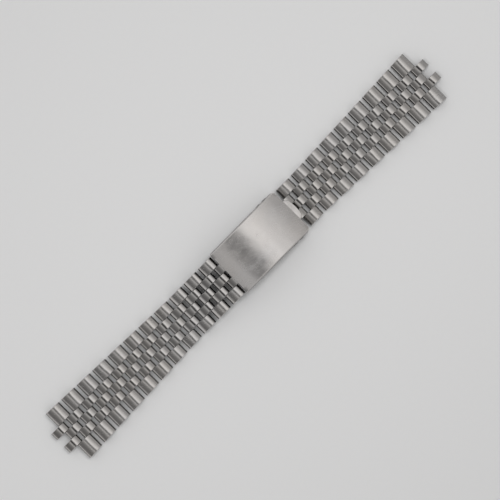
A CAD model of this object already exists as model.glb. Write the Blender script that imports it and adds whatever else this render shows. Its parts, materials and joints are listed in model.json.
import json
import math

import bmesh
import bpy
from mathutils import Euler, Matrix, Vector


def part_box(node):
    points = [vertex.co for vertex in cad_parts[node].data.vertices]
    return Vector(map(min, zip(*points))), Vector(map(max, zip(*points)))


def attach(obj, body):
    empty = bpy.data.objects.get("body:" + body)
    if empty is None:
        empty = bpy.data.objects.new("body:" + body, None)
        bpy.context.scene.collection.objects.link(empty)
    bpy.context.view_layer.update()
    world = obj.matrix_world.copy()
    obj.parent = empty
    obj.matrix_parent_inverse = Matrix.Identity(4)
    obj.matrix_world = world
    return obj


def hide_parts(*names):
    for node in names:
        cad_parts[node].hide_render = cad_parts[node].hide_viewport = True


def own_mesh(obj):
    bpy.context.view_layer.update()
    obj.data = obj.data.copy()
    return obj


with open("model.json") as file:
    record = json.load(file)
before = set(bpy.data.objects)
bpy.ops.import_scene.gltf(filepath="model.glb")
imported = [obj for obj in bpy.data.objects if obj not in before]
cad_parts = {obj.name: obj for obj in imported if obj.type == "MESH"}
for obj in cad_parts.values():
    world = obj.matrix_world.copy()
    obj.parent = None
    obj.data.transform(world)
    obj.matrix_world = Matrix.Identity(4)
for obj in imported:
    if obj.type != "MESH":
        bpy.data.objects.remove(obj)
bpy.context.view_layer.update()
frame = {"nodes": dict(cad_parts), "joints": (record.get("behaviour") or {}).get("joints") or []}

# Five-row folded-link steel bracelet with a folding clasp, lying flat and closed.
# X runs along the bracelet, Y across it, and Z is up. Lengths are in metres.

MM = 0.001

# Sizes that the frame's boxes and joints don't give
ROW_GAP = 0.12 * MM
FOLD_GAP = 0.25 * MM
SEAM_W = 0.15 * MM
PIN_CLEARANCE = 0.02 * MM
PIN_RECESS = 0.15 * MM
PIN_DOME = 0.12 * MM
RIM_R = 0.1 * MM
OUTER_RIM_R = 0.16 * MM
SEAM_CORNER_R = 0.06 * MM
RIM_STEPS = 3
END_STEPS = 14
CROWN_STEPS = 14
BORE_STEPS = 14
PIN_STEPS = 24
TURNED_STEPS = 32

# Points nearer to each other than this are one point, and widths that differ by less are the same
WELD = 0.001 * MM


def clamped(share):
    """The nearest share from 0 to 1."""
    return min(1, max(0, share))


def joint_place(name):
    """Where a joint's axis crosses the middle plane, as (x, z)."""
    joint = next(j for j in frame["joints"] if j["name"] == name)
    return Vector((joint["pos_m"][0], joint["pos_m"][2]))


def pin_places(side):
    """The pins of one half, counted from the clasp."""
    count = sum(j["name"].startswith(side + "_pin_") for j in frame["joints"])
    return [joint_place(f"{side}_pin_{i:02d}") for i in range(1, count + 1)]


PINS = {side: pin_places(side) for side in ("left", "right")}
HALF_PITCH = (PINS["left"][1] - PINS["left"][0]).length
LAST_BRIDGE = f"left_bridge_{(len(PINS['left']) + 1) // 2:02d}"
bridge_low, bridge_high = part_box(LAST_BRIDGE)
END_R = PINS["left"][-1].y - bridge_low.z
CROWN_H = bridge_high.z - PINS["left"][-1].y
ROW_W = (bridge_high.y - ROW_GAP) / 1.5
ROW_STEP = ROW_W + ROW_GAP
EDGE_Y = ROW_STEP + ROW_W / 2 + ROW_GAP
PIN_R = (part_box("inner_blade_link_pin")[1].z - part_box("inner_blade_link_pin")[0].z) / 2
BORE_R = PIN_R + PIN_CLEARANCE

# The crown is an arc that runs smoothly into both rounded ends
CROWN_RISE = CROWN_H - END_R
CROWN_DEPTH = ((HALF_PITCH / 2) ** 2 - CROWN_RISE ** 2) / (2 * CROWN_RISE)
CROWN_R = CROWN_H + CROWN_DEPTH
CROWN_HALF_ANGLE = math.degrees(math.atan2(HALF_PITCH / 2, CROWN_DEPTH))


# Outlines are lists of runs. A run is a list of (point, outward normal) pairs, and it ends where the
# next one starts.

def arc(centre, r, start, end, steps, outward=1):
    """Run along an arc between two angles in degrees."""
    run = []
    for i in range(steps + 1):
        a = math.radians(start + (end - start) * i / steps)
        direction = Vector((math.cos(a), math.sin(a)))
        run.append((Vector(centre) + r * direction, outward * direction))
    return run


def line(start, end, steps=1):
    """Straight run whose outward side is on its right."""
    start, end = Vector(start), Vector(end)
    along = (end - start).normalized()
    normal = Vector((along.y, -along.x))
    return [(start.lerp(end, i / steps), normal) for i in range(steps + 1)]


class Outline:
    """Closed outline, anticlockwise, with the normals before and after each point."""

    def __init__(self, runs):
        self.points, self.before, self.after = [], [], []
        for k, run in enumerate(runs):
            for i, (point, normal) in enumerate(run[:-1]):
                self.points.append(point)
                self.before.append(runs[k - 1][-1][1] if i == 0 else normal)
                self.after.append(normal)
        self.miters = [(a + b) / (1 + a.dot(b)) for a, b in zip(self.before, self.after)]
        self.lengths = [0.0]
        for i, point in enumerate(self.points):
            following = self.points[(i + 1) % len(self.points)]
            self.lengths.append(self.lengths[-1] + (following - point).length)

    def inset(self, i, depth):
        """Where a point goes when the whole outline is drawn in by depth."""
        return self.points[i] - depth * self.miters[i]


def link_outline():
    """Side view of a link piece: a strip folded round two pins, from its first pin at the origin."""
    middle = HALF_PITCH / 2
    slot_x = math.sqrt(BORE_R ** 2 - (FOLD_GAP / 2) ** 2)
    slot_angle = math.degrees(math.asin(FOLD_GAP / 2 / BORE_R))
    low, c = -END_R, SEAM_CORNER_R
    near, far = middle - SEAM_W / 2, middle + SEAM_W / 2
    return Outline([
        line((far, -FOLD_GAP / 2), (far, low + c)),
        arc((far + c, low + c), c, 180, 270, 2),
        line((far + c, low), (HALF_PITCH, low)),
        arc((HALF_PITCH, 0), END_R, -90, 90 - CROWN_HALF_ANGLE, END_STEPS),
        arc((middle, -CROWN_DEPTH), CROWN_R, 90 - CROWN_HALF_ANGLE, 90 + CROWN_HALF_ANGLE, CROWN_STEPS),
        arc((0, 0), END_R, 90 + CROWN_HALF_ANGLE, 270, END_STEPS),
        line((0, low), (near - c, low)),
        arc((near - c, low + c), c, 270, 360, 2),
        line((near, low + c), (near, -FOLD_GAP / 2)),
        line((near, -FOLD_GAP / 2), (slot_x, -FOLD_GAP / 2)),
        arc((0, 0), BORE_R, -slot_angle, slot_angle - 360, BORE_STEPS, -1),
        line((slot_x, FOLD_GAP / 2), (HALF_PITCH - slot_x, FOLD_GAP / 2)),
        arc((HALF_PITCH, 0), BORE_R, 180 - slot_angle, slot_angle - 180, BORE_STEPS, -1),
        line((HALF_PITCH - slot_x, -FOLD_GAP / 2), (far, -FOLD_GAP / 2)),
    ])


class Shell:
    """Mesh in the making, with exact normals and a map whose U runs across the brushing."""

    def __init__(self):
        self.points, self.faces, self.normals, self.grain, self.dirt = [], [], [], [], []

    def face(self, corners, flip):
        """Adds a face from (point number, normal, map place) corners."""
        corners = corners[::-1] if flip else corners
        self.faces.append([c[0] for c in corners])
        self.normals += [c[1] for c in corners]
        self.grain += [c[2] for c in corners]

    def slab(self, outline, low_y, high_y, rim_rs, place, turn, dirt, flip=False):
        """Outline in X and Z drawn out along Y, with rounded rims. low_y and high_y give its two ends
        at a distance along X, place puts a point where it goes and turn a direction. dirt gives the
        share of dirt at a height, and the two flat faces stay clean."""
        count = len(outline.points)
        rings = []
        for end, rim_r in zip((-1, 1), rim_rs):
            for k in range(RIM_STEPS + 1)[::end]:
                a = math.radians(90 * k / RIM_STEPS)
                rings.append((end, rim_r * (1 - math.cos(a)), rim_r * (1 - math.sin(a)), a))
        first = len(self.points)
        across = []
        for end, inset, along, a in rings:
            for i in range(count):
                x, z = outline.inset(i, inset)
                self.dirt.append(dirt(z) * math.cos(a))
                y = low_y(x) + along if end < 0 else high_y(x) - along
                across.append(y)
                self.points.append(place(Vector((x, y, z))))

        def corner(ring, i, normal):
            end, _, _, a = rings[ring]
            n = turn(Vector((normal.x * math.cos(a), end * math.sin(a), normal.y * math.cos(a))))
            spot = ring * count + i % count
            return (first + spot, n, (across[spot], outline.lengths[i]))

        for ring in range(len(rings) - 1):
            for i in range(count):
                start, stop = outline.after[i], outline.before[(i + 1) % count]
                self.face([
                    corner(ring, i, start),
                    corner(ring + 1, i, start),
                    corner(ring + 1, i + 1, stop),
                    corner(ring, i + 1, stop),
                ], flip)
        for ring, end, edge in ((0, -1, low_y), (len(rings) - 1, 1, high_y)):
            slope = edge(MM) - edge(0)
            normal = turn(Vector((-end * slope, end * MM, 0)).normalized())
            spots = range(count) if end < 0 else range(count - 1, -1, -1)
            self.face([
                (first + ring * count + i, normal, (outline.points[i].x, outline.points[i].y))
                for i in spots
            ], flip)

    def lathe(self, profile, steps, place, turn, flip=False):
        """Profile of (radius, y, radial part of normal, y part of normal) turned about Y."""
        first = len(self.points)
        rows = []
        for k, (r, y, _, _) in enumerate(profile):
            if r == 0:
                rows.append([len(self.points)] * steps)
                self.points.append(place(Vector((0, y, 0))))
                continue
            rows.append(list(range(len(self.points), len(self.points) + steps)))
            for i in range(steps):
                a = 2 * math.pi * i / steps
                self.points.append(place(Vector((r * math.cos(a), y, r * math.sin(a)))))

        def corner(k, i):
            r, y, radial, along = profile[k]
            a = 2 * math.pi * i / steps
            n = turn(Vector((radial * math.cos(a), along, radial * math.sin(a))).normalized())
            return (rows[k][i % steps], n, (y, i / steps * 2 * math.pi * PIN_R))

        for k in range(len(profile) - 1):
            for i in range(steps):
                if profile[k][0] == 0:
                    corners = [corner(k, i), corner(k + 1, i), corner(k + 1, i + 1)]
                elif profile[k + 1][0] == 0:
                    corners = [corner(k, i), corner(k + 1, i), corner(k, i + 1)]
                else:
                    corners = [
                        corner(k, i), corner(k + 1, i), corner(k + 1, i + 1), corner(k, i + 1)
                    ]
                self.face(corners, flip)

    def piece(self, name, body, slot, material, replaced):
        """Makes the object, and says what it rides on, what it is made of and what it replaces."""
        mesh = bpy.data.meshes.new(name)
        mesh.from_pydata(self.points, [], self.faces)
        mesh.polygons.foreach_set("use_smooth", [True] * len(mesh.polygons))
        grain = mesh.uv_layers.new(name="grain")
        grain.data.foreach_set("uv", [v for spot in self.grain for v in spot])
        mesh.normals_split_custom_set([tuple(n) for n in self.normals])
        if self.dirt:
            add_dirt(mesh, self.dirt)
        dress(in_scene(name, mesh), body, material, replaced)


def in_scene(name, data):
    """New object in the scene, with a mesh, a light's data or a camera's."""
    thing = bpy.data.objects.new(name, data)
    bpy.context.scene.collection.objects.link(thing)
    return thing


def dress(piece, body, material, replaced):
    """Gives a piece its one material, its body and the solids it replaces."""
    piece.data.materials.clear()
    piece.data.materials.append(material)
    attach(piece, body)
    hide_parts(*replaced)


def add_dirt(mesh, shares):
    """Keeps each point's share of dirt on the mesh, for its steel."""
    mesh.attributes.new("dirt", "FLOAT", "POINT").data.foreach_set("value", shares)


def pin_profile(r, half_l, dome, steps, first=0):
    """Profile of a pin with rounded ends, from axis to axis. first is 0 where the ends have a flat
    middle, and 1 where they are domed all over."""
    end = [(0, -half_l, 0, -1)]
    for k in range(first, steps + 1):
        a = math.radians(90 * k / steps)
        c, s = math.cos(a), math.sin(a)
        end.append((r - dome + dome * s, -half_l + dome - dome * c, s, -c))
    return end + [(r, -y, radial, -along) for r, y, radial, along in reversed(end)]


# Materials. The sizes of marks are along X, Y and Z.

SMUDGES = (4 * MM, 3 * MM, 4 * MM)
PATCHES = (22 * MM, 9 * MM, 9 * MM)
SWELLS = (5 * MM, 5 * MM, 5 * MM)
POLISHING = (0.9 * MM, 0.12 * MM, 0.3 * MM)
HAIRS = (3.5 * MM, 0.05 * MM, 2 * MM)
HAIR_TURN = math.radians(24)
HAIR_DEPTH = 4


class Nodes:
    """Node tree of a material or the world, with short calls to add and join nodes."""

    def __init__(self, owner):
        owner.use_nodes = True
        self.tree = owner.node_tree
        self.tree.nodes.clear()

    def add(self, kind, settings=None, **inputs):
        """Adds a node. An input is named by its socket's name or, after an i, by its number."""
        node = self.tree.nodes.new(kind)
        for name, value in (settings or {}).items():
            setattr(node, name, value)
        for name, value in inputs.items():
            socket = node.inputs[int(name[1:]) if name[1:].isdigit() else name.replace("_", " ")]
            if isinstance(value, bpy.types.NodeSocket):
                self.tree.links.new(value, socket)
            else:
                socket.default_value = value
        return node

    def math(self, operation, *values):
        """Sum, product or other function of numbers."""
        inputs = {f"i{k}": value for k, value in enumerate(values)}
        return self.add("ShaderNodeMath", {"operation": operation}, **inputs).outputs[0]

    def noise(self, coordinates, scale, detail=2.0, roughness=0.5):
        """Noise whose features have the given sizes along X, Y and Z."""
        sized = self.add("ShaderNodeMapping", i0=coordinates, Scale=[1 / s for s in scale]).outputs[0]
        return self.add(
            "ShaderNodeTexNoise", Vector=sized, Scale=1.0, Detail=detail, Roughness=roughness
        ).outputs["Fac"]

    def spread(self, value, low, high, to_low, to_high):
        """Maps a value's range onto another one, and stays inside it."""
        return self.add("ShaderNodeMapRange", i0=value, i1=low, i2=high, i3=to_low, i4=to_high).outputs[0]

    def mix(self, share, start, stop):
        """Colour between two others."""
        return self.add("ShaderNodeMix", {"data_type": "RGBA"}, i0=share, i6=start, i7=stop).outputs[2]

    def scaled(self, colour, amount):
        """Colour made darker or lighter."""
        return self.add("ShaderNodeVectorMath", {"operation": "SCALE"}, i0=colour, Scale=amount).outputs[0]


def steel(
    name, tint, roughness, roughness_spread, brushing, grain_depth, scratches,
    anisotropy=0.0, grime=0.0, waves=0.0
):
    """Stainless steel. brushing is the length and width of its brushed lines, and None on a polished
    face. grain_depth is the height of those lines or of the polishing marks. Smudges vary the
    roughness by its spread, and fine scratches add to it. grime is how much the steel darkens where
    its mesh has dirt, and waves the depth of its unevenness."""
    material = bpy.data.materials.new(name)
    n = Nodes(material)
    place = n.add("ShaderNodeTexCoord").outputs["Object"]
    smudges = n.noise(place, SMUDGES, 4.0, 0.62)
    patches = n.noise(place, PATCHES, 2.0)
    turned = n.add("ShaderNodeMapping", i0=place, Rotation=(0, 0, HAIR_TURN)).outputs[0]
    hairs = n.spread(n.noise(turned, HAIRS, 1.0), 0.66, 0.72, 0.0, 1.0)
    if brushing:
        length, width = brushing
        lines = n.noise(place, (length, width, width), 3.0, 0.65)
        line_shade, shade_offset = 0.16, 0.10
    else:
        lines = n.noise(place, POLISHING, 2.0)
        line_shade, shade_offset = 0.05, 0.05
    shade = n.math("MULTIPLY_ADD", smudges, 0.10, 0.95)
    shade = n.math("MULTIPLY_ADD", lines, line_shade, shade)
    shade = n.math("SUBTRACT", shade, shade_offset)
    if grime:
        dirt = n.add("ShaderNodeAttribute", {"attribute_name": "dirt"}).outputs["Fac"]
        shade = n.math("MULTIPLY", shade, n.spread(dirt, 0.0, 1.0, 1.0, 1 - grime))
    cool_tint = [tint[0] * 0.985, tint[1], tint[2] * 1.02, 1]
    colour = n.mix(n.spread(patches, 0.35, 0.65, 0.0, 1.0), cool_tint, [*tint, 1])
    colour = n.scaled(colour, shade)
    gloss = n.spread(smudges, 0.3, 0.7, roughness - roughness_spread, roughness + roughness_spread)
    gloss = n.math("MULTIPLY_ADD", hairs, scratches, gloss)
    height = n.math("MULTIPLY_ADD", hairs, -HAIR_DEPTH * scratches, lines)
    bump = n.add("ShaderNodeBump", Strength=1.0, Distance=grain_depth, Height=height).outputs[0]
    if waves:
        swell = n.noise(place, SWELLS, 1.0)
        bump = n.add(
            "ShaderNodeBump", Strength=1.0, Distance=waves, Height=swell, Normal=bump
        ).outputs[0]
    shader = n.add(
        "ShaderNodeBsdfPrincipled", Base_Color=colour, Metallic=1.0, Roughness=gloss, Normal=bump
    )
    if anisotropy:
        shader.inputs["Anisotropic"].default_value = anisotropy
        tangent = n.add("ShaderNodeTangent", {"direction_type": "UV_MAP", "uv_map": "grain"})
        n.tree.links.new(tangent.outputs[0], shader.inputs["Tangent"])
    n.add("ShaderNodeOutputMaterial", Surface=shader.outputs[0])
    return material


BRUSHED = steel(
    "brushed_steel", (0.62, 0.596, 0.574), roughness=0.20, roughness_spread=0.03,
    brushing=(7 * MM, 0.09 * MM), grain_depth=0.0012 * MM, scratches=0.08,
    anisotropy=0.8, grime=0.97, waves=0.14 * MM
)
POLISHED = steel(
    "polished_steel", (0.60, 0.577, 0.555), roughness=0.11, roughness_spread=0.025,
    brushing=None, grain_depth=0.0008 * MM, scratches=0.10,
    grime=0.97, waves=0.14 * MM
)
COVER_STEEL = steel(
    "cover_steel", (0.70, 0.671, 0.648), roughness=0.25, roughness_spread=0.05,
    brushing=(9 * MM, 0.09 * MM), grain_depth=0.0008 * MM, scratches=0.04,
    anisotropy=0.7, grime=0.45, waves=0.06 * MM
)
BLADE_STEEL = steel(
    "blade_steel", (0.62, 0.61, 0.60), roughness=0.32, roughness_spread=0.05,
    brushing=(5 * MM, 0.12 * MM), grain_depth=0.002 * MM, scratches=0.08
)
TURNED = steel(
    "turned_steel", (0.60, 0.59, 0.58), roughness=0.24, roughness_spread=0.05,
    brushing=(0.08 * MM, 3 * MM), grain_depth=0.001 * MM, scratches=0.06
)
SPRING_WIRE = steel(
    "spring_wire", (0.50, 0.49, 0.48), roughness=0.34, roughness_spread=0.05,
    brushing=(0.2 * MM, 0.05 * MM), grain_depth=0.001 * MM, scratches=0.06
)


# Links

LINK = link_outline()

# Dirt covers their ends up to a height over the pins, given as a share of the ends' radius, and fades
# out over the last part of it. A link has most dirt if it lies this much higher than a flat one.
DIRT_TOP = 0.75
MOST_DIRT_TOP = 0.9
DIRT_FADE = 0.3
UNDERSIDE_DIRT = 0.8
LEAST_DIRT = 0.88
MOST_DIRT_H = 1.5 * MM


def link_places(side):
    """For each link of one half, its kind, number, first pin and direction, from the clasp on. The
    last link has only one pin, and goes on in the direction of the one before."""
    pins = PINS[side]
    for k, pin in enumerate(pins):
        if k + 1 < len(pins):
            along = (pins[k + 1] - pin).normalized()
        kind = "main" if k % 2 else "bridge"
        yield kind, k // 2 + 1, pin, along


def link_dirt(z, raised):
    """Dirt below the pins and on the ends, more of it on the raised links beside the clasp."""
    top = DIRT_TOP + (MOST_DIRT_TOP - DIRT_TOP) * raised
    share = UNDERSIDE_DIRT if z < 0 else clamped((top - z / END_R) / DIRT_FADE)
    return share * (LEAST_DIRT + (1 - LEAST_DIRT) * raised)


def half_width(side):
    """Function that gives half the bracelet's width at x. The width grows evenly from the first
    tapered link to the watch."""
    mains = len(PINS[side]) // 2
    boxes = [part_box(f"{side}_main_{number:02d}") for number in range(1, mains + 1)]
    near_w, far_w = boxes[0][1].y, boxes[-1][1].y
    near, far = (1, 0) if side == "left" else (0, 1)
    start = next(box[near].x for box in boxes if box[1].y > near_w + WELD)
    end = boxes[-1][far].x
    return lambda x: near_w + (far_w - near_w) * max(0, (x - start) / (end - start))


def make_link(side, kind, number, pin, along):
    """All pieces of one link: two bridge pieces, or a middle piece, two edge pieces and two pins."""
    node = f"{side}_{kind}_{number:02d}"
    above = Vector((-along.y, along.x)) * math.copysign(1, along.x)
    width = half_width(side)
    raised = clamped((pin.y - END_R) / MOST_DIRT_H)

    def place(p):
        return Vector((pin.x + along.x * p.x + above.x * p.z, p.y, pin.y + along.y * p.x + above.y * p.z))

    def turn(n):
        return Vector((along.x * n.x + above.x * n.z, n.y, along.y * n.x + above.y * n.z))

    def outer_y(x):
        return width(pin.x + along.x * x)

    def slab(shell, low_y, high_y, rims=(RIM_R, RIM_R)):
        shell.slab(LINK, low_y, high_y, rims, place, turn, lambda z: link_dirt(z, raised), along.x < 0)

    if kind == "bridge":
        shell = Shell()
        for row_y in (-ROW_STEP, ROW_STEP):
            slab(shell, lambda x: row_y - ROW_W / 2, lambda x: row_y + ROW_W / 2)
        shell.piece(node + "_pair", node, "bridge_link_steel", POLISHED, [node])
        return
    edges = Shell()
    slab(edges, lambda x: EDGE_Y, outer_y, (RIM_R, OUTER_RIM_R))
    slab(edges, lambda x: -outer_y(x), lambda x: -EDGE_Y, (OUTER_RIM_R, RIM_R))
    edges.piece(node + "_edges", node, "edge_link_steel", BRUSHED, [node])
    middle = Shell()
    slab(middle, lambda x: -ROW_W / 2, lambda x: ROW_W / 2)
    middle.piece(node + "_middle", node, "edge_link_steel", POLISHED, [node])
    pins = Shell()
    for x in (0, HALF_PITCH):
        profile = pin_profile(PIN_R, outer_y(x) - PIN_RECESS, PIN_DOME, 3, 1)
        pins.lathe(profile, PIN_STEPS, lambda p: place(p + Vector((x, 0, 0))), turn)
    pins.piece(node + "_pins", node, "edge_link_steel", TURNED, [node])


for side in PINS:
    for link in link_places(side):
        make_link(side, *link)


# Clasp. Its pieces are made level, with X and Z measured from the spring bar, and then lean with it.
# The cover's top stays a small margin under the solid's.

HINGE_PIN = joint_place("cover_hinge")
BLADE_HINGE = joint_place("blade_hinge")
BLADE_LINK_PIN = PINS["left"][0]
SPRING_BAR = PINS["right"][0]
CLASP_LEAN = math.radians(5.6)
TIP_R = 0.35 * MM
HINGE_PIN_R = 0.45 * MM
CUTTER_STEPS = 32

COVER_L = 28.5 * MM
COVER_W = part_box("cover_hinge_pin")[1].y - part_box("cover_hinge_pin")[0].y
COVER_T = 0.8 * MM
COVER_RISE = 1.7 * MM
COVER_EDGE_R = 0.08 * MM
SPRING_BAR_INSET = 0.95 * MM
COVER_X = SPRING_BAR_INSET - COVER_L / 2
WALL_LOW_Z = -0.95 * MM
COVER_UNDER_Z = 2.65 * MM
TOP_MARGIN = 0.003 * MM
COVER_TOP_Z = COVER_UNDER_Z + COVER_T + COVER_RISE - TOP_MARGIN
COVER_ARC_R = ((COVER_L / 2) ** 2 + COVER_RISE ** 2) / (2 * COVER_RISE)
WALL_IN_Y = COVER_W / 2 - COVER_T
OUTER_BEND_R = 0.7 * MM
INNER_BEND_R = 0.12 * MM
WALL_CORNER_R = 2.5 * MM
HINGE_CORNER_R = 0.5 * MM
LIP_END_CORNER_R = 1.5 * MM
COVER_DIRT_W = 0.28 * MM
COVER_DIRT_FADE = 0.15 * MM

# Where the rows of the cover's mesh lie: as shares of the flat top's half width, and on the walls by
# their height over the lower edge, where the lowest one is only just above it
TOP_ROWS = (0, 0.25, 0.5, 0.7, 0.8, 0.86, 0.91, 0.96)
BEND_STEPS = 8
JUST_ABOVE = 1e-9
WALL_ROWS = [
    height * MM + JUST_ABOVE
    for height in (3.2, 2.7, 2.3, 1.9, 1.5, 1.15, 0.85, 0.6, 0.4, 0.25, 0.12, 0.04, 0)
]
STATIONS = 28
CAP_STEPS = 4

HOLES = 3
HOLE_STEP = 2.85 * MM
HOLE_R = TIP_R + PIN_CLEARANCE
HOLE_RIM_R = 0.85 * MM
HOLE_RIM_H = 0.15 * MM
HOLE_RIM_EDGE_R = 0.06 * MM
HOLE_RIM_DEPTHS = (0.1 * MM, 0.02 * MM)

LIP_W = 8.2 * MM
LIP_OUT = 1.8 * MM
LIP_T = 0.55 * MM
LIP_CORNER_R = 2.1 * MM
LIP_BULGE = 0.5 * MM
LIP_EDGE_R = 0.2 * MM
LIP_DIP = math.radians(1)
LIP_ROOT = 0.6 * MM

BLADE_EDGE_R = 0.06 * MM


def lean(v, angle=CLASP_LEAN):
    """A direction, or a place measured from the spring bar, on the leaning clasp."""
    c, s = math.cos(angle), math.sin(angle)
    return Vector((v.x * c + v.z * s, v.y, v.z * c - v.x * s))


def on_clasp(v):
    """Place on the bracelet of a place in the level clasp."""
    return Vector((SPRING_BAR.x, 0, SPRING_BAR.y)) + lean(v)


def in_clasp(place):
    """X and Z in the level clasp of a joint's place."""
    v = lean(Vector((place.x - SPRING_BAR.x, 0, place.y - SPRING_BAR.y)), -CLASP_LEAN)
    return v.x, v.z


def cover_top(x):
    """Height of the cover's top at x, which is measured from the middle of the cover."""
    return COVER_TOP_Z - COVER_ARC_R + math.sqrt(COVER_ARC_R ** 2 - x ** 2)


def round_off(distance, r):
    """How far a corner of radius r draws an end back, at a distance from the side it runs into."""
    return r - math.sqrt(r ** 2 - (r - distance) ** 2) if distance < r else 0.0


def cover_end(end, y, z):
    """Place along X of the cover's lip end (1) or hinge end (-1), for a point of its section."""
    if end > 0:
        return COVER_L / 2 - round_off(COVER_W / 2 - abs(y), LIP_END_CORNER_R)
    plan_corner = round_off(COVER_W / 2 - abs(y), HINGE_CORNER_R)
    wall_corner = round_off(z - WALL_LOW_Z, WALL_CORNER_R)
    return plan_corner + wall_corner - COVER_L / 2


def cover_sections():
    """Outer and inner half of the cover's section, in pairs from the middle to the wall's lower edge.
    Each point is y and z, with z from the top (0 or less) or from the wall's lower edge (above 0)."""
    outer_flat = COVER_W / 2 - OUTER_BEND_R
    inner_flat = WALL_IN_Y - INNER_BEND_R
    pairs = [((share * outer_flat, 0), (share * inner_flat, -COVER_T)) for share in TOP_ROWS]
    for k in range(BEND_STEPS + 1):
        a = math.radians(90 * k / BEND_STEPS)
        pairs.append((
            (outer_flat + OUTER_BEND_R * math.sin(a), -OUTER_BEND_R * (1 - math.cos(a))),
            (inner_flat + INNER_BEND_R * math.sin(a), -COVER_T - INNER_BEND_R * (1 - math.cos(a)))
        ))
    return pairs + [((COVER_W / 2, z), (WALL_IN_Y, z)) for z in WALL_ROWS]


def cover_point(spot, side, share):
    """Place of a section's point at a share of the cover's length."""
    y, z = spot
    rest_z = z + WALL_LOW_Z if z > 0 else z + COVER_TOP_Z
    low, high = (cover_end(end, y, rest_z) for end in (-1, 1))
    x = low + (high - low) * share
    return Vector((COVER_X + x, side * y, rest_z if z > 0 else cover_top(x) + z))


def finish_mesh(piece, edge_r, cutter=None):
    """Rounds the piece's edges, cuts its holes and weights its normals by area."""
    rounding = piece.modifiers.new("rounding", "BEVEL")
    rounding.width = edge_r
    rounding.segments = 3
    rounding.limit_method = "ANGLE"
    rounding.angle_limit = math.radians(40)
    if cutter:
        cut = piece.modifiers.new("holes", "BOOLEAN")
        cut.object = cutter
        cut.operation = "DIFFERENCE"
        cut.solver = "EXACT"
    bpy.context.view_layer.update()
    graph = bpy.context.evaluated_depsgraph_get()
    mesh = bpy.data.meshes.new_from_object(piece.evaluated_get(graph))
    piece.modifiers.clear()
    piece.data = mesh
    mesh.polygons.foreach_set("use_smooth", [True] * len(mesh.polygons))
    mesh.set_sharp_from_angle(angle=math.radians(38))
    weighting = piece.modifiers.new("normals", "WEIGHTED_NORMAL")
    weighting.keep_sharp = True
    weighting.weight = 60


def add_cutter(shell, x, z, r):
    """Cylinder across the whole cover, only used to cut a hole."""
    first = len(shell.points)
    for y in (-COVER_W, COVER_W):
        for i in range(CUTTER_STEPS):
            a = 2 * math.pi * i / CUTTER_STEPS
            shell.points.append(Vector((x + r * math.cos(a), y, z + r * math.sin(a))))
    for i in range(CUTTER_STEPS):
        j = (i + 1) % CUTTER_STEPS
        shell.faces.append([first + i, first + CUTTER_STEPS + i, first + CUTTER_STEPS + j, first + j])
    shell.faces.append([first + i for i in range(CUTTER_STEPS)])
    shell.faces.append([first + CUTTER_STEPS + i for i in range(CUTTER_STEPS - 1, -1, -1)])


def plain_object(name, shell):
    """Object with only a shell's points and faces."""
    mesh = bpy.data.meshes.new(name)
    mesh.from_pydata(shell.points, [], shell.faces)
    return in_scene(name, mesh)


def hole_places():
    """X and Z of the adjustment holes, outermost first, on an arc that follows the cover's."""
    arc_z = COVER_TOP_Z - COVER_ARC_R
    start = Vector((-COVER_X, -arc_z))
    angle = math.atan2(start.x, start.y)
    step = 2 * math.asin(HOLE_STEP / 2 / start.length)
    for i in range(HOLES):
        a = angle - i * step
        yield (COVER_X + start.length * math.sin(a), arc_z + start.length * math.cos(a))


def cover_shell():
    """Bent channel of sheet: rings round its section along its length, and a cap on each end."""
    pairs = cover_sections()
    around = [(spot, 1) for spot, _ in pairs[::-1]] + [(spot, -1) for spot, _ in pairs[1:]]
    around += [(spot, -1) for _, spot in pairs[::-1]] + [(spot, 1) for _, spot in pairs[1:]]
    count = len(around)
    shell = Shell()
    for s in range(STATIONS + 1):
        for spot, side in around:
            shell.points.append(cover_point(spot, side, s / STATIONS))
    for s in range(STATIONS):
        for i in range(count):
            j = (i + 1) % count
            a, b = s * count, (s + 1) * count
            shell.faces.append([a + i, a + j, b + j, b + i])
    for end, ring in ((-1, 0), (1, STATIONS)):
        rows = []
        for i in range(count // 2):
            outer, inner = ring * count + i, ring * count + count - 1 - i
            start, stop = shell.points[outer], shell.points[inner]
            row = [outer]
            for m in range(1, CAP_STEPS):
                p = start.lerp(stop, m / CAP_STEPS)
                p.x = COVER_X + cover_end(end, p.y, p.z)
                row.append(len(shell.points))
                shell.points.append(p)
            rows.append(row + [inner])
        for a, b in zip(rows, rows[1:]):
            for m in range(CAP_STEPS):
                quad = [a[m], b[m], b[m + 1], a[m + 1]]
                shell.faces.append(quad if end > 0 else quad[::-1])
    return shell


def cover_dirt(place):
    """Dirt on the cover's walls, from the bend of its long edges down."""
    return clamped((abs(place.y) - COVER_W / 2 + COVER_DIRT_W) / COVER_DIRT_FADE)


def add_grain(mesh):
    """Map whose U runs across the brushing."""
    grain = mesh.uv_layers["grain"] if "grain" in mesh.uv_layers else mesh.uv_layers.new(name="grain")
    spots = [mesh.vertices[loop.vertex_index].co for loop in mesh.loops]
    grain.data.foreach_set("uv", [v for p in spots for v in (p.y - p.z, p.x)])


def make_cover():
    """The cover, with holes for the spring bar and the hinge pin through its walls."""
    cover = plain_object("cover_plate", cover_shell())
    holes = Shell()
    for x, z in hole_places():
        add_cutter(holes, x, z, HOLE_R)
    add_cutter(holes, *in_clasp(HINGE_PIN), HINGE_PIN_R + PIN_CLEARANCE)
    cutter = plain_object("cutter", holes)
    finish_mesh(cover, COVER_EDGE_R, cutter)
    bpy.data.objects.remove(cutter)
    add_grain(cover.data)
    add_dirt(cover.data, [cover_dirt(vertex.co) for vertex in cover.data.vertices])
    for vertex in cover.data.vertices:
        vertex.co = on_clasp(vertex.co)
    dress(cover, "cover", COVER_STEEL, ["clasp_cover"])


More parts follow.
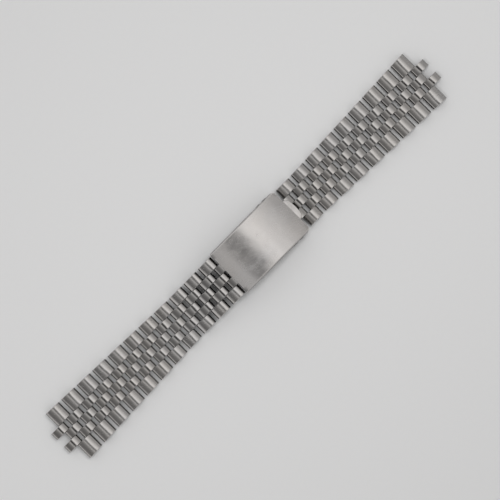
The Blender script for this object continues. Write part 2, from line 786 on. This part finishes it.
def lip_outline():
    """The finger lip seen from above: rounded corners and a gently bowed edge."""
    half, r = LIP_W / 2, LIP_CORNER_R
    edge_r = (half ** 2 + LIP_BULGE ** 2) / (2 * LIP_BULGE)
    angle = math.asin((half - r) / (edge_r - r))
    corner = Vector((LIP_OUT - edge_r + (edge_r - r) * math.cos(angle), half - r))
    tangent = math.degrees(angle)
    return Outline([
        line((-LIP_ROOT, -half), (corner.x, -half), 2),
        arc((corner.x, -corner.y), r, -90, -tangent, 8),
        arc((LIP_OUT - edge_r, 0), edge_r, -tangent, tangent, 10),
        arc(corner, r, tangent, 90, 8),
        line((corner.x, half), (-LIP_ROOT, half), 2),
        line((-LIP_ROOT, half), (-LIP_ROOT, -half), 4),
    ])


def make_lip():
    """Finger lip, which starts inside the cover's end. Its outline lies in plan."""
    root = Vector((COVER_X + COVER_L / 2, 0, COVER_UNDER_Z))

    def place(p):
        return on_clasp(root + lean(Vector((p.x, p.z, p.y)), LIP_DIP))

    def turn(n):
        return lean(lean(Vector((n.x, n.z, n.y)), LIP_DIP))

    shell = Shell()
    shell.slab(
        lip_outline(), lambda x: 0.0, lambda x: LIP_T, (RIM_R, LIP_EDGE_R), place, turn, lambda z: 1.0, True
    )
    shell.piece("finger_lip", "cover", "cover_steel", COVER_STEEL, ["clasp_cover"])


def make_rims():
    """Raised rims round the adjustment holes but the outermost."""
    wall, top = COVER_W / 2, COVER_W / 2 + HOLE_RIM_H
    hole_depth, rim_depth = HOLE_RIM_DEPTHS
    soft, s = HOLE_RIM_EDGE_R, math.sqrt(0.5)
    profile = [
        (HOLE_R, wall - hole_depth, -1, 0),
        (HOLE_R, top - soft, -1, 0),
        (HOLE_R + soft * (1 - s), top - soft * (1 - s), -s, s),
        (HOLE_R + soft, top, 0, 1),
        (HOLE_RIM_R - soft, top, 0, 1),
        (HOLE_RIM_R - soft * (1 - s), top - soft * (1 - s), s, s),
        (HOLE_RIM_R, top - soft, 1, 0),
        (HOLE_RIM_R, wall - rim_depth, 1, 0),
    ]
    shell = Shell()
    for x, z in list(hole_places())[1:]:
        for side in (-1, 1):
            shell.lathe(
                profile, TURNED_STEPS,
                lambda p: on_clasp(Vector((x + p.x, side * p.y, z + p.z))),
                lambda n: lean(Vector((n.x, side * n.y, n.z))), side < 0
            )
    shell.piece("hole_rims", "cover", "cover_steel", TURNED, ["clasp_cover"])


def make_pin(name, node, body, centre, profile):
    """Pin that rides on a body, round the axis of its joint."""
    def place(p):
        return Vector((centre.x + p.x, p.y, centre.y + p.z))

    shell = Shell()
    shell.lathe(profile, TURNED_STEPS, place, lambda n: n)
    shell.piece(name, body, "pin_steel", TURNED, [node])


def half_length(node):
    """Half a solid's length across the bracelet."""
    low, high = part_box(node)
    return (high.y - low.y) / 2


def copied(node, name, rework):
    """New object with a copy of a solid's mesh, welded and then reworked."""
    source = frame["nodes"][node]
    mesh = source.data.copy()
    mesh.transform(source.matrix_world)
    work = bmesh.new()
    work.from_mesh(mesh)
    bmesh.ops.remove_doubles(work, verts=work.verts, dist=WELD)
    rework(work)
    work.to_mesh(mesh)
    work.free()
    return in_scene(name, mesh)


def make_blade(node, body, name):
    """The blade's solid, with rounded edges."""
    def join_flat_faces(work):
        bmesh.ops.dissolve_limit(work, angle_limit=math.radians(0.5), verts=work.verts, edges=work.edges)

    blade = copied(node, name, join_flat_faces)
    finish_mesh(blade, BLADE_EDGE_R)
    add_grain(blade.data)
    dress(blade, body, BLADE_STEEL, [node])


def make_spring_half(end, side):
    """Half of the spring bar's spring, which its tip squashes."""
    def cut(work):
        bmesh.ops.bisect_plane(
            work, geom=[*work.verts, *work.edges, *work.faces],
            plane_co=(0, 0, 0), plane_no=(0, side, 0), clear_inner=True
        )
        bmesh.ops.holes_fill(work, edges=[edge for edge in work.edges if edge.is_boundary])
        bmesh.ops.remove_doubles(work, verts=work.verts, dist=WELD)

    spring = copied("spring_bar_spring", f"spring_{end}", cut)
    spring.data.shade_smooth()
    spring.data.set_sharp_from_angle(angle=math.radians(60))
    dress(spring, "cover", SPRING_WIRE, ["spring_bar_spring"])
    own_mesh(spring)


make_cover()
make_lip()
make_rims()
make_pin(
    "cover_pin", "cover_hinge_pin", "cover", HINGE_PIN,
    pin_profile(HINGE_PIN_R, half_length("cover_hinge_pin"), PIN_DOME, 4)
)
make_pin(
    "catch_pin", "blade_hinge_pin", "inner_blade", BLADE_HINGE,
    pin_profile(HINGE_PIN_R, half_length("blade_hinge_pin"), HINGE_PIN_R, 8, 1)
)
make_pin(
    "blade_pin", "inner_blade_link_pin", "inner_blade", BLADE_LINK_PIN,
    pin_profile(PIN_R, half_length("inner_blade_link_pin"), PIN_DOME, 4)
)
make_blade("middle_blade", "middle_blade", "blade_outer")
make_blade("inner_blade", "inner_blade", "blade_inner")

for node in ("spring_bar_tube", "spring_bar_tip_front", "spring_bar_tip_back"):
    mesh = frame["nodes"][node].data
    mesh.materials.clear()
    mesh.materials.append(TURNED)
for end, side in (("front", -1), ("back", 1)):
    make_spring_half(end, side)


# Floor, light and camera

VIEW_TURN = math.radians(-45.3)
VIEW_CENTRE = (2.17 * MM, 0.49 * MM)
VIEW_WIDTH = 159.7 * MM
CAMERA_HEIGHT = 630 * MM
SENSOR = 36
CLIP_END = 50
FLOOR_SIZE = 12.0
PAPER = (0.80, 0.80, 0.80)
FIBRES = (1.5 * MM, 1.5 * MM, 1.5 * MM)

# Brightness of the room by its angle in degrees from overhead, towards the right half
ROOM = [
    (-90, 0.04), (-86, 0.12), (-82, 0.66), (-66, 0.70), (-57, 0.34), (-50, 0.16), (-40, 0.17),
    (-30, 0.21), (-22, 0.28), (-17, 0.40), (-12, 0.56), (-8, 0.56), (-4, 0.48), (0, 0.46),
    (4, 0.58), (8, 0.86), (12, 1.02), (16, 0.96), (20, 0.82), (25, 0.73), (31, 0.58),
    (37, 0.44), (46, 0.37), (60, 0.44), (78, 0.34), (85, 0.10), (90, 0.05),
]
WARM_ANGLE = 15

# The dark gap round the camera: its middle, half length and half width in degrees, its brightness,
# and where it starts to fade and ends, as shares of its half sizes
CAMERA_GAP = (-0.1, 8.2, 9.5)
GAP_SHADE = 0.10
GAP_EDGE = (0.55, 1.15)

# The room's two sides: their brightness towards -Y and +Y, how far aside they begin and are full,
# and where and how much they darken towards the horizon. Aside is 0 overhead and 1 along Y.
SIDE_LIGHTS = (0.578, 0.748)
SIDE_SPAN = 0.6
SIDE_EDGE = (0.45, 0.68)
HORIZON_EDGE = (0.80, 0.93)
HORIZON_SHADE = 0.5
BACKDROP = (0.62, 0.62, 0.62, 1)

LAMP_SIZE = 0.11
LAMP_POWER = {"right_light": 0.235, "left_light": 0.18}
LAMP_PLACES = {"right_light": (0.13, 0.03, 0.33), "left_light": (-0.13, 0.03, 0.33)}


def make_floor():
    """Pale paper under the bracelet."""
    half = FLOOR_SIZE / 2
    corners = [(-half, -half, 0), (half, -half, 0), (half, half, 0), (-half, half, 0)]
    mesh = bpy.data.meshes.new("floor")
    mesh.from_pydata(corners, [], [(0, 1, 2, 3)])
    material = bpy.data.materials.new("paper")
    n = Nodes(material)
    place = n.add("ShaderNodeTexCoord").outputs["Object"]
    shade = n.math("MULTIPLY_ADD", n.noise(place, FIBRES, 4.0, 0.6), 0.02, 0.99)
    shader = n.add("ShaderNodeBsdfPrincipled", Base_Color=n.scaled(PAPER, shade), Roughness=0.9)
    shader.inputs["Specular IOR Level"].default_value = 0.1
    n.add("ShaderNodeOutputMaterial", Surface=shader.outputs[0])
    mesh.materials.append(material)
    in_scene("floor", mesh)


def make_room():
    """Soft studio: a pale room with a dark gap overhead, where the camera stands, and bright sides."""
    world = bpy.data.worlds.new("room")
    bpy.context.scene.world = world
    n = Nodes(world)
    direction = n.add("ShaderNodeTexCoord").outputs["Generated"]
    axes = n.add("ShaderNodeSeparateXYZ", i0=direction).outputs
    angle = n.math("ARCTAN2", axes[0], axes[2])
    ramp = n.add("ShaderNodeValToRGB", Fac=n.spread(angle, -math.pi / 2, math.pi / 2, 0.0, 1.0))
    stops = ramp.color_ramp.elements
    while len(stops) < len(ROOM):
        stops.new(0.5)
    for stop, (degrees, value) in zip(stops, ROOM):
        warmth = min(1, abs(degrees) / WARM_ANGLE)
        stop.position = (degrees + 90) / 180
        stop.color = (value, value * (1 - 0.01 * warmth), value * (1 - 0.015 * warmth), 1)
    middle, half_l, half_w = (math.radians(degrees) for degrees in CAMERA_GAP)
    along_gap = n.math("DIVIDE", n.math("SUBTRACT", angle, middle), half_l)
    across_gap = n.math("DIVIDE", axes[1], half_w)
    from_gap = n.add("ShaderNodeCombineXYZ", i0=along_gap, i1=across_gap).outputs[0]
    from_gap = n.add("ShaderNodeVectorMath", {"operation": "LENGTH"}, i0=from_gap).outputs["Value"]
    stripes = n.scaled(ramp.outputs[0], n.spread(from_gap, *GAP_EDGE, GAP_SHADE, 1.0))
    aside = n.math("ABSOLUTE", axes[1])
    sides = n.spread(axes[1], -SIDE_SPAN, SIDE_SPAN, *SIDE_LIGHTS)
    sides = n.math("MULTIPLY", sides, n.spread(aside, *HORIZON_EDGE, 1.0, HORIZON_SHADE))
    light = n.mix(n.spread(aside, *SIDE_EDGE, 0.0, 1.0), stripes, sides)
    seen = n.add("ShaderNodeLightPath").outputs["Is Camera Ray"]
    sky = n.add("ShaderNodeBackground", Color=n.mix(seen, light, BACKDROP), Strength=1.0)
    n.add("ShaderNodeOutputWorld", Surface=sky.outputs[0])


def make_lamp(name):
    """Soft box that faces the middle of the bracelet, and that no polished face mirrors."""
    light = bpy.data.lights.new(name, "AREA")
    light.energy = LAMP_POWER[name]
    light.size = LAMP_SIZE
    lamp = in_scene(name, light)
    lamp.location = LAMP_PLACES[name]
    lamp.rotation_euler = (-Vector(LAMP_PLACES[name])).to_track_quat("-Z", "Y").to_euler()
    lamp.visible_glossy = False


def make_camera():
    """Camera that looks straight down, turned as the photograph is."""
    data = bpy.data.cameras.new("camera")
    data.sensor_width = SENSOR
    data.lens = SENSOR * CAMERA_HEIGHT / VIEW_WIDTH
    data.clip_end = CLIP_END
    camera = in_scene("camera", data)
    camera.location = (*VIEW_CENTRE, CAMERA_HEIGHT)
    camera.rotation_euler = Euler((0, 0, VIEW_TURN))
    bpy.context.scene.camera = camera


make_floor()
make_room()
for name in LAMP_POWER:
    make_lamp(name)
make_camera()
bpy.context.scene.view_settings.view_transform = "Standard"
